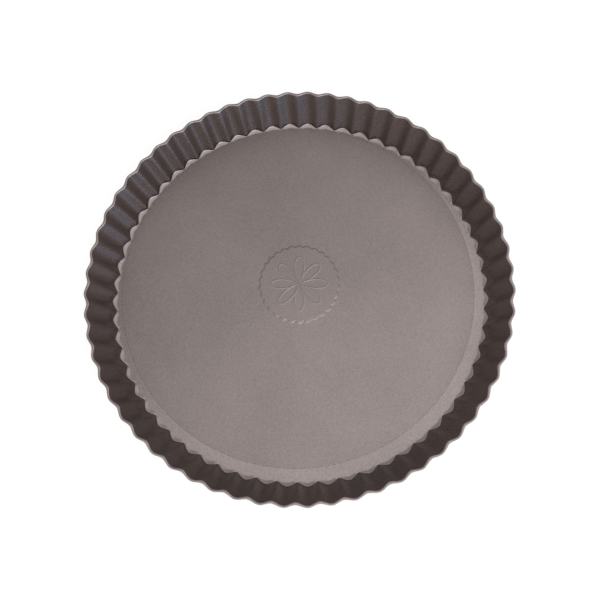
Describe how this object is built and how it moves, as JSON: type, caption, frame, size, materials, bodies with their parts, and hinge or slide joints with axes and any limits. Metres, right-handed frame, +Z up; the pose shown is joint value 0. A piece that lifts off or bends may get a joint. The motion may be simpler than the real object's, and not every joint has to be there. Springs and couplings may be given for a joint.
{
  "type": "loose-bottomed pie pan",
  "caption": "Shallow round pie pan: a flared, fluted sheet-steel ring with a narrow lip and an inward ledge, and a loose flat base that lies on the ledge and lifts out.",
  "frame": {"origin": "on the ring's axis, in the plane of the ledge's underside, which the pan stands on", "axes": "+Z up, out of the pan's mouth; +X through one of the inward folds; +Y away from the viewer"},
  "size_m": [0.2796, 0.2796, 0.026],
  "materials": {
    "ring_coating": "satin grey-brown non-stick coating on steel",
    "base_coating": "satin grey-brown non-stick coating on steel, with a fine grain"
  },
  "bodies": {
    "ring": {"fluted_ring": "ring_coating"},
    "base": {"loose_base": "base_coating"}
  },
  "joints": [
    {"name": "base_lift", "type": "slide", "parent": "ring", "child": "base", "axis": [0, 0, 1], "range_m": [0, 0.05]}
  ]
}
